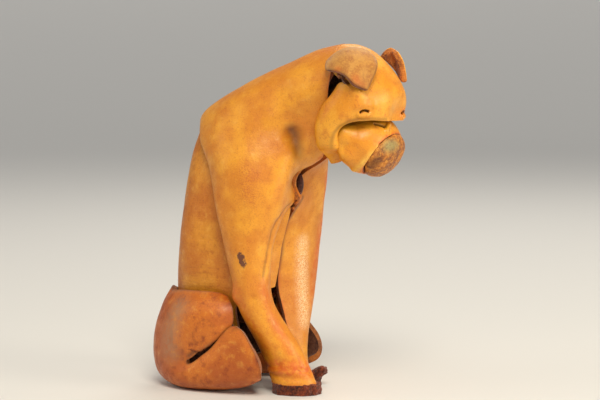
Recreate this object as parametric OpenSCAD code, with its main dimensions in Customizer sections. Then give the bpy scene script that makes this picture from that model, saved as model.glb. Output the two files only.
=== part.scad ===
// Sitting dog folded and moulded from thick vegetable-tanned leather.
// Every skin is a cut sheet: its outer face is drawn as a grid of rows of points, and its inner face
// lies one hide thickness inside it. +X is the way the dog looks, +Z is up, y = 0 is its middle plane,
// and z = 0 is the surface it stands on.

/* [Leather] */
// Thickness of the hide
hide_t = 2.2; // [1.8:0.1:2.4]

/* [Figure] */
// Height to the top of the skull
figure_h = 120; // [100:5:140]
// Width over the shoulders and haunches, as a share of the drawn one
body_broad = 1; // [0.95:0.01:1.05]

/* [Paw pads] */
// Thickness of the pads under the forelegs
pad_t = 2.8; // [2:0.2:3]

/* [Hidden] */
drawn_h = 119.9;
k = figure_h / drawn_h;
// Moves the drawn figure so that the middle of its length is at x = 0
centre_x = 1.14;
// Moves it so that the middle of its width is at y = 0
centre_y = 0;

// ---- curves through points, and skins ----

// Point of the smooth curve through the points p, at t from 0 to len(p) - 1
function bend(a, b, c, d, t) =
    0.5 * (2 * b + (c - a) * t + (2 * a - 5 * b + 4 * c - d) * t * t + (3 * b - a - 3 * c + d) * t * t * t);
function along(p, t) =
    let (n = len(p), i = min(floor(t), n - 2))
    bend(i > 0 ? p[i - 1] : 2 * p[0] - p[1], p[i], p[i + 1],
         i < n - 2 ? p[i + 2] : 2 * p[n - 1] - p[n - 2], t - i);
function smooth(p, steps) = [for (s = [0 : steps]) along(p, s * (len(p) - 1) / steps)];

// Grid of points from rows of key points: nu steps over the rows, nv steps along each
function skin_grid(rows, nu, nv) =
    let (fine = [for (r = rows) smooth(r, nv)],
         columns = [for (j = [0 : nv]) smooth([for (r = fine) r[j]], nu)])
    [for (i = [0 : nu]) [for (j = [0 : nv]) columns[j][i]]];

// Nothing reaches below the surface the figure stands on
function above_ground(g) = [for (r = g) [for (p = r) [p.x, p.y, max(p.z, 0)]]];

function unit(v) = v / max(norm(v), 1e-6);
function normal_at(g, i, j) =
    let (a = len(g) - 1, b = len(g[0]) - 1,
         du = g[min(i + 1, a)][j] - g[max(i - 1, 0)][j],
         dv = g[i][min(j + 1, b)] - g[i][max(j - 1, 0)])
    unit(cross(dv, du));

function other_side(rows) = [for (r = rows) [for (p = r) [p.x, -p.y, p.z]]];
function backwards(rows) = [for (i = [len(rows) - 1 : -1 : 0]) rows[i]];
function with_end(r, p) = [for (i = [0 : len(r) - 1]) i < len(r) - 1 ? r[i] : p];
function placed(p) = [k * (p.x + centre_x), k * body_broad * (p.y + centre_y), k * p.z];

// Closed solid between the grid and the same grid moved one thickness inwards. side is 1 where the
// rows run so that the outer face is on their left, and thin is the share of the thickness by column.
module skin(g, side = 1, thin = [1, 1]) {
    a = len(g);
    b = len(g[0]);
    outer = [for (i = [0 : a - 1]) for (j = [0 : b - 1]) placed(g[i][j])];
    inner = [for (i = [0 : a - 1]) for (j = [0 : b - 1])
             let (t = hide_t / k * along(thin, j * (len(thin) - 1) / (b - 1)))
             placed(g[i][j] - side * t * normal_at(g, i, j))];
    n = a * b;
    faces = concat(
        [for (i = [0 : a - 2]) for (j = [0 : b - 2])
            let (p = i * b + j) each [[p, p + b + 1, p + 1], [p, p + b, p + b + 1]]],
        [for (i = [0 : a - 2]) for (j = [0 : b - 2])
            let (p = n + i * b + j) each [[p, p + 1, p + b + 1], [p, p + b + 1, p + b]]],
        [for (j = [0 : b - 2])
            each [[j, j + 1, n + j + 1], [j, n + j + 1, n + j]]],
        [for (j = [0 : b - 2])
            let (p = (a - 1) * b + j) each [[p, n + p + 1, p + 1], [p, n + p, n + p + 1]]],
        [for (i = [0 : a - 2])
            let (p = i * b) each [[p, n + p + b, p + b], [p, n + p, n + p + b]]],
        [for (i = [0 : a - 2])
            let (p = i * b + b - 1) each [[p, p + b, n + p + b], [p, n + p + b, n + p]]]);
    polyhedron(points = concat(outer, inner),
               faces = side > 0 ? faces : [for (f = faces) [f[0], f[2], f[1]]], convexity = 8);
}

// The same for rows that run all the way round, where the last column is the first again
module round_skin(g) {
    a = len(g);
    b = len(g[0]) - 1;
    function turn(i, j) =
        unit(cross(g[i][(j + 1) % b] - g[i][(j + b - 1) % b], g[min(i + 1, a - 1)][j] - g[max(i - 1, 0)][j]));
    outer = [for (i = [0 : a - 1]) for (j = [0 : b - 1]) placed(g[i][j])];
    inner = [for (i = [0 : a - 1]) for (j = [0 : b - 1]) placed(g[i][j] - hide_t / k * turn(i, j))];
    n = a * b;
    faces = concat(
        [for (i = [0 : a - 2]) for (j = [0 : b - 1])
            let (p = i * b + j, q = i * b + (j + 1) % b) each [[p, q + b, q], [p, p + b, q + b]]],
        [for (i = [0 : a - 2]) for (j = [0 : b - 1])
            let (p = n + i * b + j, q = n + i * b + (j + 1) % b) each [[p, q, q + b], [p, q + b, p + b]]],
        [for (j = [0 : b - 1])
            let (q = (j + 1) % b) each [[j, q, n + q], [j, n + q, n + j]]],
        [for (j = [0 : b - 1])
            let (p = (a - 1) * b + j, q = (a - 1) * b + (j + 1) % b) each [[p, n + q, q],
     [p, n + p, n + q]]]);
    polyhedron(points = concat(outer, inner), faces = faces, convexity = 6);
}

// Solid between closed rows, flat at both ends
module round_solid(g) {
    a = len(g);
    b = len(g[0]) - 1;
    faces = concat(
        [for (i = [0 : a - 2]) for (j = [0 : b - 1])
            let (p = i * b + j, q = i * b + (j + 1) % b) each [[p, q + b, q], [p, p + b, q + b]]],
        [[for (j = [0 : b - 1]) j]],
        [[for (j = [b - 1 : -1 : 0]) (a - 1) * b + j]]);
    polyhedron(points = [for (r = g) for (j = [0 : b - 1]) placed(r[j])], faces = faces, convexity = 4);
}

// ---- body skin: neck, shoulders and both forelegs, one sheet folded over the spine ----
// Each row runs from the rear edge round the outside to the front edge; rows go up from the paw.
foreleg_right = [
    [[5, -2.8, 3.5], [0.5, -5, 3.5], [-0.3, -10.7, 3.5], [5, -14.8, 3.5], [12, -12.9, 3.5],
     [15.6, -7.5, 3.5], [12, -2.9, 3.5]],
    [[3.5, -3.5, 9], [-0.5, -6.5, 8.5], [-1, -12, 8], [4, -15, 8], [10.7, -13.3, 8.5], [13.4, -8, 9],
     [10, -3.7, 9]],
    [[-0.5, -7, 17.5], [-4, -10.5, 17], [-3.3, -15.3, 17], [2, -17.2, 17], [7.7, -14.2, 17],
     [9.3, -8.5, 17.5], [5.5, -5.8, 18]],
    [[-4, -10, 26], [-7.5, -14, 25.5], [-6.5, -18.3, 25], [-1.5, -19.6, 25.5], [2.8, -16.4, 26],
     [3.8, -11, 26.5], [0.3, -8, 27]],
    [[-7, -13, 34], [-9.8, -17.5, 33.5], [-8, -22, 33.5], [-3, -22.7, 34], [1.5, -18, 34.5],
     [0.7, -12.4, 35], [-3.4, -8.8, 35.8]],
    [[-9, -16, 43.5], [-11.3, -20.5, 43.5], [-7, -24.2, 44.5], [-1.5, -22.5, 46.5], [2.5, -16.5, 48.5],
     [-0.2, -10.1, 50], [-3.9, -5.9, 50.5]],
    [[-11, -18, 51], [-12.6, -22, 51.5], [-7.3, -24.9, 53], [-0.8, -23.2, 55], [4.2, -16.8, 57],
     [2.8, -9.5, 58.5], [-0.8, -5, 59.5]]];
foreleg_left = [
    [[-2.6, 3, 3.5], [-5.4, 5.6, 3.5], [-4.8, 9.4, 3.5], [-0.6, 11.6, 3.5], [4, 10.6, 3.5],
     [6, 7, 3.5], [3.2, 3, 3.5]],
    [[-3.4, 3, 9], [-6.3, 6, 8.5], [-5.6, 9.8, 8], [-1.2, 12.2, 8], [2.8, 10.8, 8.5], [4, 7.2, 9],
     [1.2, 3, 9]],
    [[-5, 4.5, 17.5], [-7.8, 8, 17], [-6.5, 12, 17], [-1.6, 14.6, 17], [2.4, 12.4, 17],
     [2.8, 8, 17.5], [-0.5, 3, 18]],
    [[-7, 6.5, 26], [-10, 11, 25.5], [-8.3, 17, 25.5], [-2.8, 18.8, 26], [2.6, 15.5, 26],
     [2.3, 9, 26.5], [-2.5, 2.5, 27]],
    [[-8, 9.5, 34], [-10.8, 14.5, 33.5], [-8.5, 20, 33.5], [-2.8, 21.5, 34], [2.8, 18, 34.5],
     [2, 9.5, 35], [-4, 1.5, 36]],
    [[-9, 15, 43.5], [-11.3, 20, 43.5], [-7, 24.2, 44.5], [-1.5, 23.2, 46.5], [3.6, 19.5, 48.5],
     [2.5, 9.5, 50], [-2.6, 1.4, 51]],
    [[-11, 18, 51], [-12.6, 22, 51.5], [-7.3, 24.9, 53], [-0.8, 23.5, 55], [5, 19, 57],
     [3.4, 9, 58.5], [0.6, 0.9, 59]]];
shoulder = [
    [[-12.8, -19, 58.5], [-14, -23, 59], [-8, -25.1, 60.5], [0, -23.7, 62.5], [6.3, -17.5, 64.5],
     [5.5, -8.5, 66], [5.2, -1.1, 66.8]],
    [[-15, -18.8, 65.5], [-16, -22.2, 66], [-9, -25, 67.5], [0, -23.7, 69.5], [7.5, -17.5, 71.5],
     [6.5, -8.5, 73.5], [2.8, -2.1, 74]],
    [[-18, -17, 72], [-18, -20.5, 72], [-11, -24.5, 73], [-2, -23.8, 75], [7.7, -17.5, 77],
     [10.5, -9.5, 80], [15.5, -2.5, 81]],
    [[-21.5, -14.5, 79.5], [-20.5, -18.5, 79], [-12.5, -23.5, 80], [-3, -22.6, 82], [6.5, -17.3, 84],
     [13, -11.5, 88], [21, -9.3, 94]],
    [[-25, -11.5, 84], [-24, -16, 83.5], [-15, -21, 85], [-4.5, -20.5, 88], [4.5, -16.5, 91.5],
     [13, -13.3, 96], [22.3, -13, 102.5]],
    [[-28.5, -8.5, 88], [-27, -13, 88], [-17.5, -18.5, 90.5], [-6, -18.8, 93.5], [4, -16.5, 97.5],
     [13, -15, 102.5], [24.4, -15.1, 109.6]],
    [[-33.3, -2.5, 92.6], [-28.5, -7, 96], [-18, -12, 100], [-7, -12.8, 104.7], [3.5, -12, 108.5],
     [13, -11, 112.5], [23.6, -10.2, 115.6]]];
spine = [[-35, 0, 94], [-25.5, 0, 100.2], [-15.5, 0, 105.7], [-5.5, 0, 110.3], [4, 0, 114.3],
         [13, 0, 118], [22.1, 0, 119.9]];
shoulder_left = [for (i = [0 : len(shoulder) - 1]) let (r = other_side([shoulder[i]])[0])
                 i == 0 ? with_end(r, [5.2, 0.9, 66.6]) : i == 1 ? with_end(r, [4.2, 2.7, 74]) : r];
body_rows = concat(foreleg_right, shoulder, [spine], backwards(shoulder_left), backwards(foreleg_left));
module body_skin() color("goldenrod") skin(skin_grid(body_rows, 84, 18));

// ---- back panel: the rear of the trunk, tucked under the shoulders and the haunches ----
// Each row runs round the back, from under the right shoulder to the middle; rows go down.
back_half = [
    [[-8, -12, 83], [-17, -11, 85], [-26, -6.6, 88], [-32.6, -2, 90.6]],
    [[-7, -15.5, 74], [-18, -15.5, 76], [-28.8, -11.8, 79], [-35.2, -3.9, 81.5]],
    [[-6, -17, 62], [-17, -17.3, 63], [-30.2, -14.2, 65], [-37.2, -5.4, 67]],
    [[-9.8, -16.3, 48], [-18, -17.6, 49], [-31.8, -15.8, 50], [-39, -6, 51]],
    [[-12.6, -15.3, 34], [-20, -16.6, 34], [-32, -14.8, 34], [-40.3, -6.2, 34]],
    [[-12, -12.5, 20], [-20, -13.5, 19], [-31, -12.3, 19], [-38.6, -5.3, 19]]];
back_rows = [for (r = back_half) concat(r, [for (i = [3 : -1 : 0]) [r[i].x, -r[i].y, r[i].z]])];
module back_panel() color("peru") skin(skin_grid(back_rows, 15, 21));

// ---- chest strip: the narrow fold between the forelegs ----
strip_rows = [
    [[-3.7, -7, 64.3], [-2.4, -4.9, 64.3], [-1, -3.1, 64.2], [-0.2, -1.6, 64]],
    [[-6.4, -8.5, 58.5], [-5, -6, 58.5], [-3, -3.1, 58.5], [-1.8, -0.9, 58.5]],
    [[-8.8, -9, 50], [-7.4, -6, 50], [-5.6, -3.3, 50], [-4.6, -0.9, 50]],
    [[-9.1, -10.5, 42], [-7.8, -7.6, 42], [-6.2, -4.6, 42], [-5.6, -1.6, 42]],
    [[-8.8, -12, 35], [-7.7, -9, 35], [-6.6, -6, 35], [-6.4, -3.4, 35.5]]];
module chest_strip() color("orange") skin(skin_grid(strip_rows, 16, 9));

// ---- throat bung: the dark plug between the two front edges ----
bung_rings = [for (u = [-78 : 12 : 78]) [for (s = [0 : 24])
    [4.5 + 2.1 * cos(u) * cos(15 * s), 0.3 + 1.4 * cos(u) * sin(15 * s), 71.3 + 4.2 * sin(u)]]];
module throat_bung() color("saddlebrown") round_solid(bung_rings);

// ---- hind leg: thigh, rump and foot from one sheet, folded back on itself at the heel ----
// Each row runs from the rim of the thigh, the middle of the rump or the inner edge of the foot to
// the slit between thigh and foot; rows go from the front of the thigh round the heel to the toes.
hind_rows = [
    [[-14, -16.5, 33.4], [-11.5, -19.5, 32], [-9.7, -21, 29.5], [-9.2, -21.3, 26.5],
     [-10.2, -21.5, 24], [-12.6, -21.2, 21.4]],
    [[-17, -18.5, 34.6], [-15.8, -21.7, 32], [-15, -24, 28.3], [-15.3, -24.8, 24.2],
     [-16.3, -24.5, 20], [-18, -23.3, 15.8]],
    [[-25.5, -19.5, 34.9], [-25, -22.8, 31.5], [-24.5, -25, 27], [-24.5, -25.6, 21.5],
     [-24.5, -25, 16.5], [-23.6, -23.7, 12.4]],
    [[-38.3, -14, 33.8], [-38.6, -17.8, 28.5], [-37.6, -20.8, 22.5], [-34.5, -23.2, 17.3],
     [-30.5, -24.4, 14], [-26, -23.6, 11.2]],
    [[-43.9, -1.2, 32.5], [-45.5, -8.7, 25.5], [-45.2, -14.5, 18], [-41.5, -19.3, 12.7],
     [-35, -23, 11.3], [-26.6, -23.6, 10.5]],
    [[-44.2, -1.2, 15], [-45.3, -8, 9.5], [-44.2, -14.5, 5.2], [-39.7, -19.5, 4.8],
     [-33.8, -23.3, 7.8], [-26.3, -23.6, 9.7]],
    [[-34.5, -4, 4.5], [-34.8, -9, 1.2], [-33.8, -16, 0.2], [-31, -22.5, 1.7], [-28.5, -24.7, 6],
     [-24.3, -23.6, 10.3]],
    [[-19, -8.5, 8], [-19, -10.5, 2.5], [-18.7, -17, 0.2], [-18, -24, 2.8], [-17.5, -25.5, 9],
     [-17.3, -23.4, 14.9]],
    [[-8.5, -10.8, 12], [-8, -11.5, 5.5], [-7, -17, 2.2], [-5, -23.5, 5], [-5.5, -25.1, 13],
     [-9.7, -22.7, 23.2]],
    [[-5.5, -11.5, 13.5], [-4.6, -12, 8], [-1.5, -17, 5], [2.3, -22.4, 7.3], [1.4, -24.2, 14],
     [-5, -22.5, 22.7]]];
module hind_leg_right() color("chocolate") skin(above_ground(skin_grid(hind_rows, 30, 15)), side = -1);
module hind_leg_left() color("chocolate") skin(above_ground(skin_grid(other_side(hind_rows), 30, 15)));

// ---- head skin: cheeks, brow and skull, open at the back and over the muzzle ----
// Each row runs from the edge on the neck to the lip over the muzzle; rows go up from the jaw.
head_half = [
    [[22.2, -6, 81.5], [21.2, -8.4, 79.9], [22.4, -10.6, 78.8], [24.8, -12.4, 78.8], [27.2, -12.4, 80.2],
     [28.2, -11.2, 81.6]],
    [[19.8, -8.5, 86.8], [18.3, -12, 86], [19.5, -15, 85.3], [22.5, -16.5, 85.3], [25.3, -16.5, 86],
     [26.5, -14.9, 86.8]],
    [[19.3, -10.5, 93], [18.2, -14, 92.2], [20, -17, 91.5], [23.8, -18.3, 91.5], [27, -17.7, 91.8],
     [28.2, -15.8, 91.5]],
    [[20.8, -12.7, 99], [21.3, -16, 98.5], [24.5, -18.3, 97.7], [28.5, -18.7, 96.7],
     [31.3, -17.8, 95.3], [31, -15.8, 93.3]],
    [[25.3, -14.8, 104], [26.6, -17, 103.4], [29.5, -18.2, 102], [32.5, -18, 100],
     [34.3, -16.8, 97.7], [33.6, -14.8, 94]],
    [[28.8, -16.8, 107.2], [30.3, -17.7, 106.4], [32.8, -18, 104.5], [35, -17.2, 101.8],
     [36, -15.8, 98.8], [35.5, -13.7, 94.2]],
    [[32.6, -17.3, 106.3], [33.6, -17.3, 105.9], [35, -16.8, 104.6], [36.5, -15.8, 102.3],
     [37.3, -14.3, 99.2], [37, -12.5, 94.3]],
    [[30, -16.6, 108.6], [32, -16.9, 108], [34, -16.5, 106.7], [36.5, -15, 103.8], [38.3, -13, 100],
     [38.2, -11.3, 94.4]],
    [[25.2, -15, 109.9], [28.5, -16, 109.2], [32.5, -15.7, 107.6], [36.5, -13.8, 104.8],
     [39.7, -11.5, 100.5], [39.4, -9.8, 94.3]],
    [[24.3, -10.2, 115.7], [28, -10.8, 115.3], [33, -10.2, 113.3], [38, -8.5, 109],
     [42.5, -6.3, 102.3], [41.9, -5.5, 94]],
    [[22.8, 0, 119.9], [27, 0, 119.6], [32.5, 0, 117.4], [38.5, 0, 111.8], [43.5, 0, 103.3],
     [42.8, 0, 93.9]]];
// The left cheek runs up to the neck with no notch under the ear
head_left = [
    [[24.4, -14.6, 103.3], [26, -17, 102.8], [29.5, -18.2, 101.8], [32.5, -18, 100],
     [34.3, -16.8, 97.7], [33.6, -14.8, 94]],
    [[24.7, -15, 105.4], [27.3, -17.1, 105], [31.2, -17.9, 103.7], [34.6, -17.3, 101.5],
     [36, -15.8, 98.8], [35.5, -13.7, 94.2]],
    [[24.9, -15.2, 107], [28, -16.9, 106.7], [32.3, -17.1, 105.3], [36, -16, 102.5],
     [37.3, -14.3, 99.2], [37, -12.5, 94.3]],
    [[25, -15.3, 108.5], [28.3, -16.5, 108], [32.6, -16.5, 106.5], [36.4, -15, 103.8],
     [38.3, -13, 100], [38.2, -11.3, 94.4]]];
head_rows = concat(head_half, backwards([for (i = [0 : 9])
                   other_side([i > 3 && i < 8 ? head_left[i - 4] : head_half[i]])[0]]));
module head_skin() color("orange") skin(skin_grid(head_rows, 60, 15));

// ---- muzzle skin: a cup round the nose pad, its rear edge inside the head skin ----
// The cup is a row of ovals on an axis that points forwards and down; each row runs round an oval.
muzzle_dir = [0.82, 0, -0.57];
muzzle_up = [0.57, 0, 0.82];
muzzle_start = [22, 0, 92.8];
muzzle_ovals = [[0, 8.8, 4.2], [4, 11.6, 7], [8.5, 13.3, 9.5], [12.5, 13.8, 10.4], [16, 12.2, 9.7],
                [18, 10.6, 8.7]];
function oval(r, n) = [for (s = [0 : n])
    let (turn = 360 * s / n - 90)
    muzzle_start + r[0] * muzzle_dir + [0, r[1] * cos(turn), 0] + r[2] * sin(turn) * muzzle_up];
muzzle_rows = [for (r = muzzle_ovals) oval(r, 12)];
module muzzle_skin() color("gold") round_skin(skin_grid(muzzle_rows, 10, 36));

// ---- nose pad: the worn dome on the open end of the cup, its stem inside the cup ----
pad_ovals = [[14, 6.6, 4.8], [17.6, 7.6, 5.8], [18.3, 7.8, 6], [18.32, 10.3, 8.4], [19.6, 10.4, 8.6],
             [21.4, 9.4, 7.8], [22.8, 7.6, 6.3], [23.7, 5, 4.2], [24.1, 2.2, 1.9]];
module nose_pad() color("saddlebrown") round_solid([for (r = pad_ovals) oval(r, 32)]);

// ---- ears ----
// Rows of the right ear run down from the skull to the free edge; they go from its rear to its front.
ear_right_rows = [
    [[23.4, -11.8, 114.6], [23.8, -14, 112.9], [24.6, -15.7, 111.5], [25.5, -17, 110.2]],
    [[25.6, -9.2, 117.1], [26.5, -13.3, 115.3], [27.5, -17, 112.8], [28.5, -19, 110]],
    [[29, -7.6, 118], [30.3, -12.6, 116.3], [31.5, -17.4, 113.1], [32.3, -20.3, 108.6]],
    [[33.3, -7, 117.2], [35, -11.7, 114.9], [35.6, -17, 111], [34.9, -20.2, 105.8]],
    [[36.5, -7, 115.3], [38.4, -10.3, 111.9], [38.9, -14, 107.9], [37.9, -16.8, 103.9]]];
module ear_right() color("tan") skin(skin_grid(ear_right_rows, 16, 9), side = -1, thin = [0.25, 0.9, 1, 1]);

// Rows of the left ear run round the back of the leaf; they go from the skull to the tip.
ear_left_rows = [
    [[30.6, 10.5, 115.6], [32.6, 13.8, 112.6], [37.2, 14.2, 109.2], [41.6, 9.5, 106.4]],
    [[31.6, 10.6, 116.9], [33.2, 14, 115], [37.2, 14, 112.3], [41, 9.8, 110]],
    [[32.8, 11.3, 118], [34, 13.5, 117.1], [36.8, 13.5, 115.4], [39.4, 11, 113.9]],
    [[34.2, 12, 118.5], [34.7, 12.7, 118.2], [35.7, 12.9, 117.7], [36.7, 12.3, 117.2]]];
module ear_left() color("tan") skin(skin_grid(ear_left_rows, 12, 12), side = -1, thin = [1, 1]);

// ---- paw pads: the frayed soles under the forelegs ----
pad_right_edge = [[-0.6, -9], [0.6, -12.8], [4, -15.4], [9, -15.1], [13.5, -13.4], [16.8, -10], [17.4, -6],
                  [15, -2.8], [10.5, -1.8], [6, -1.9], [2, -3.4], [-0.2, -6]];
pad_left_edge = [[-6.2, 7.4], [-5, 10.8], [-1.6, 12.5], [3, 12], [6, 10.8], [9, 10.2], [10, 7.5],
                 [8.5, 5.2], [6, 3.2], [2, 2], [-3, 2.1], [-5.4, 4.5]];
function flat(edge) = [for (p = edge) let (q = placed([p.x, p.y, 0])) [q.x, q.y]];
module pad(edge) linear_extrude(pad_t) offset(r = 1, $fn = 20) offset(delta = -1) polygon(flat(edge));
module paw_pad_right() color("brown") pad(pad_right_edge);
module paw_pad_left() color("brown") {
    pad(pad_left_edge);
    translate(placed([6.6, 5.3, 0.9])) rotate([0, -30, 0]) cube([7 * k, 4.8 * k, 2 * k]);
}

body_skin();
back_panel();
chest_strip();
throat_bung();
hind_leg_right();
hind_leg_left();
head_skin();
muzzle_skin();
nose_pad();
ear_right();
ear_left();
paw_pad_right();
paw_pad_left();
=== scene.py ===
# %% [markdown]
# # A sitting dog moulded from thick leather
# The real figure has no stuffing and no frame. It is a handful of thick vegetable-tanned skins that were
# wetted, folded and pressed over a form, and they dried hard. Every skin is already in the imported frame
# as a plain sheet with its true thickness, so this file gives the sheets what the frame can't hold:
# soft cut edges, thumb marks, wrinkles, eyes, frayed pads and the look of old, handled leather.

# %% The fixed frame
import math

import bpy
import numpy as np
from mathutils import Matrix, Vector
from mathutils.kdtree import KDTree


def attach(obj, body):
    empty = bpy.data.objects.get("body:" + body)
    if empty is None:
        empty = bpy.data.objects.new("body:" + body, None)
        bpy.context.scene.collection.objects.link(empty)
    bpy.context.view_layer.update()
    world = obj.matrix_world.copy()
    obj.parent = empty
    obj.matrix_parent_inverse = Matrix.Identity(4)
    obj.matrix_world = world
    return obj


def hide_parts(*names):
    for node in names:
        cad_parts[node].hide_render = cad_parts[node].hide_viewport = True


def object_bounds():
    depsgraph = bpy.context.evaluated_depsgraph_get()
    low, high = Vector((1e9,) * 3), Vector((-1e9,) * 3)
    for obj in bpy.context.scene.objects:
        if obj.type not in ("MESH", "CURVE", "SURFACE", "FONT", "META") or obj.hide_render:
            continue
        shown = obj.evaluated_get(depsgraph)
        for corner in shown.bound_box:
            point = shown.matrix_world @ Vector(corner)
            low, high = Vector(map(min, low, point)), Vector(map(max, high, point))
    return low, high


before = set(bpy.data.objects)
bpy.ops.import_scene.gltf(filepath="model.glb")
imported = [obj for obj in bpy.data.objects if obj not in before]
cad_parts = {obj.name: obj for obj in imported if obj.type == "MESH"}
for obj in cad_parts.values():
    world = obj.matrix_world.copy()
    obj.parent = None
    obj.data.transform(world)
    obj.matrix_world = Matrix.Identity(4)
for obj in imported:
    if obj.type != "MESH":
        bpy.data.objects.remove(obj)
cad_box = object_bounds()
low, high = (np.array(corner, float) for corner in cad_box)
print("the frame is", np.round((high - low) * 1000, 1), "mm in size")

# %% [markdown]
# ## Measures
# Places on the dog are given in millimetres on a dog 120 mm high. They could be typed in metres, but then
# a taller frame would leave every wrinkle behind, so one measure is taken from the frame and all others
# are multiples of it.

# %% One millimetre of the dog
mm = float(high[2] - low[2]) / 120


def spot(x, y, z):
    """A place on the dog, in metres, from its millimetres."""
    return np.array((x, y, z), float) * mm


def run(*places):
    """A line over the dog through places in millimetres."""
    return [spot(*place) for place in places]


print("one millimetre of the dog is", round(mm * 1000, 4), "mm")

# %% [markdown]
# ## Taking hold of things
# Operators act on all that is selected, and loading leaves every sheet selected. So each step first lets go
# of everything and takes one piece. Points and faces are then chosen by their place, as a hand would.

# %% Choosing a piece, its faces or its points


def only(piece):
    """Lets go of everything, then takes hold of this piece."""
    if bpy.context.mode != "OBJECT":
        bpy.ops.object.mode_set(mode="OBJECT")
    bpy.ops.object.select_all(action="DESELECT")
    piece.select_set(True)
    bpy.context.view_layer.objects.active = piece


def choose(piece, chosen, kind):
    """Opens edit mode with just these faces, or these points, chosen."""
    only(piece)
    bpy.ops.object.mode_set(mode="EDIT")
    bpy.ops.mesh.select_mode(type=kind)
    bpy.ops.mesh.select_all(action="DESELECT")
    bpy.ops.object.mode_set(mode="OBJECT")
    parts = piece.data.polygons if kind == "FACE" else piece.data.vertices
    parts.foreach_set("select", np.asarray(chosen, bool))
    bpy.ops.object.mode_set(mode="EDIT")


def done():
    """Closes edit mode."""
    bpy.ops.object.mode_set(mode="OBJECT")


def finish_with(piece, kind, **settings):
    """Adds one modifier to a piece and applies it."""
    only(piece)
    modifier = piece.modifiers.new(kind.lower(), kind)
    for name, value in settings.items():
        setattr(modifier, name, value)
    bpy.ops.object.modifier_apply(modifier=modifier.name)


def points(piece):
    """Every point of a piece, one row each."""
    flat = np.empty(len(piece.data.vertices) * 3, np.float32)
    piece.data.vertices.foreach_get("co", flat)
    return flat.reshape(-1, 3).astype(float)


print("the frame holds", len(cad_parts), "sheets")

# %% [markdown]
# ## How far is it to a line?
# A crease, a wrinkle or a rubbed-in colour is strongest along a line and fades beside it. Proportional
# editing does that around one point, but a crease is long, so the distance from every point to the line is
# worked out once, and the same fading share drives the shape and the colour.

# %% Fading beside a line


def distance(places, line):
    """How far each place is from a line through the given points, which may be a single point."""
    line = [np.asarray(p, float) for p in line]
    if len(line) == 1:
        return np.linalg.norm(places - line[0], axis=1)
    nearest = np.full(len(places), np.inf)
    for a, b in zip(line, line[1:]):
        step = b - a
        share = np.clip((places - a) @ step / (step @ step), 0, 1)
        nearest = np.minimum(nearest, np.linalg.norm(places - a - share[:, None] * step, axis=1))
    return nearest


def fading(away, reach):
    """1 on the line, 0 from its reach onwards, with no step between."""
    share = np.clip(1 - away / reach, 0, 1)
    return share * share * (3 - 2 * share)


print("half way out a stroke keeps", fading(np.array([0.5]), 1.0)[0], "of its depth")

# %% [markdown]
# ## From a plain sheet to leather
# A sheet arrives as loose triangles. Its doubles are merged and its triangles are paired back into the
# four-sided grid it was drawn with, because subdivision only flows smoothly over a grid. The grain side, the
# flesh side and the cut edge meet at sharp corners, so regions joined by soft angles are the sides: the
# widest is the grain, the next is the flesh, and the rest is cut edge. A small bevel keeps the corner of the
# cut crisp, as a knife leaves it, and subdivision rounds all else.

# %% Grain side, flesh side and cut edge
GRAIN, FLESH, CUT = 0, 1, 2
SIDE_ANGLE = math.radians(42)
CORNER_ANGLE = math.radians(58)
PAIR_ANGLE = math.radians(120)


def faces_of(piece):
    """The area and the material number of every face."""
    mesh = piece.data
    area = np.empty(len(mesh.polygons), np.float32)
    number = np.empty(len(mesh.polygons), np.int32)
    mesh.polygons.foreach_get("area", area)
    mesh.polygons.foreach_get("material_index", number)
    return area, number


def sort_sides(piece):
    """Gives each face the number of the side of the leather that it is on."""
    area, number = faces_of(piece)
    left = np.ones(len(area), bool)
    regions = []
    while left.any():
        seed = np.zeros(len(area), bool)
        seed[np.argmax(left)] = True
        choose(piece, seed, "FACE")
        bpy.ops.mesh.faces_select_linked_flat(sharpness=SIDE_ANGLE)
        done()
        region = np.empty(len(area), bool)
        piece.data.polygons.foreach_get("select", region)
        regions.append(region & left)
        left &= ~region
    regions.sort(key=lambda region: -area[region].sum())
    number[:] = CUT
    number[regions[0]] = GRAIN
    number[regions[1]] = FLESH
    piece.data.polygons.foreach_set("material_index", number)
    return len(regions)


def copy_of(node, name):
    """A copy of a sheet with its doubles merged and its triangles paired."""
    piece = bpy.data.objects.new(name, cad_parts[node].data.copy())
    bpy.context.scene.collection.objects.link(piece)
    piece.data.materials.clear()
    only(piece)
    bpy.ops.mesh.customdata_custom_splitnormals_clear()
    bpy.ops.object.mode_set(mode="EDIT")
    bpy.ops.mesh.select_all(action="SELECT")
    bpy.ops.mesh.remove_doubles(threshold=0.01 * mm)
    bpy.ops.mesh.tris_convert_to_quads(
        face_threshold=PAIR_ANGLE, shape_threshold=PAIR_ANGLE, topology_influence=1.5)
    done()
    bpy.ops.object.shade_smooth()
    return piece


def leather_from(node, name, levels=2, corner=0.35, uneven=0.25):
    """A sheet's soft, slightly uneven leather, ready for its own wrinkles."""
    piece = copy_of(node, name)
    regions = sort_sides(piece)
    if corner:
        only(piece)
        bpy.ops.object.mode_set(mode="EDIT")
        bpy.ops.mesh.select_mode(type="EDGE")
        bpy.ops.mesh.select_all(action="DESELECT")
        bpy.ops.mesh.edges_select_sharp(sharpness=CORNER_ANGLE)
        bpy.ops.mesh.bevel(offset=corner * mm, segments=2, profile=0.6, affect="EDGES", clamp_overlap=True)
        done()
    finish_with(piece, "SUBSURF", levels=levels, render_levels=levels)
    if uneven:
        hollows = bpy.data.textures.new(name + "_hollows", "CLOUDS")
        hollows.noise_scale = 7 * mm
        hollows.noise_depth = 1
        finish_with(piece, "DISPLACE", texture=hollows, texture_coords="LOCAL", strength=uneven * mm)
    print(name, "has", regions, "regions and", len(piece.data.polygons), "faces")
    return piece


print("a side of the leather ends where its faces turn by", round(math.degrees(SIDE_ANGLE)), "degrees")

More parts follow.
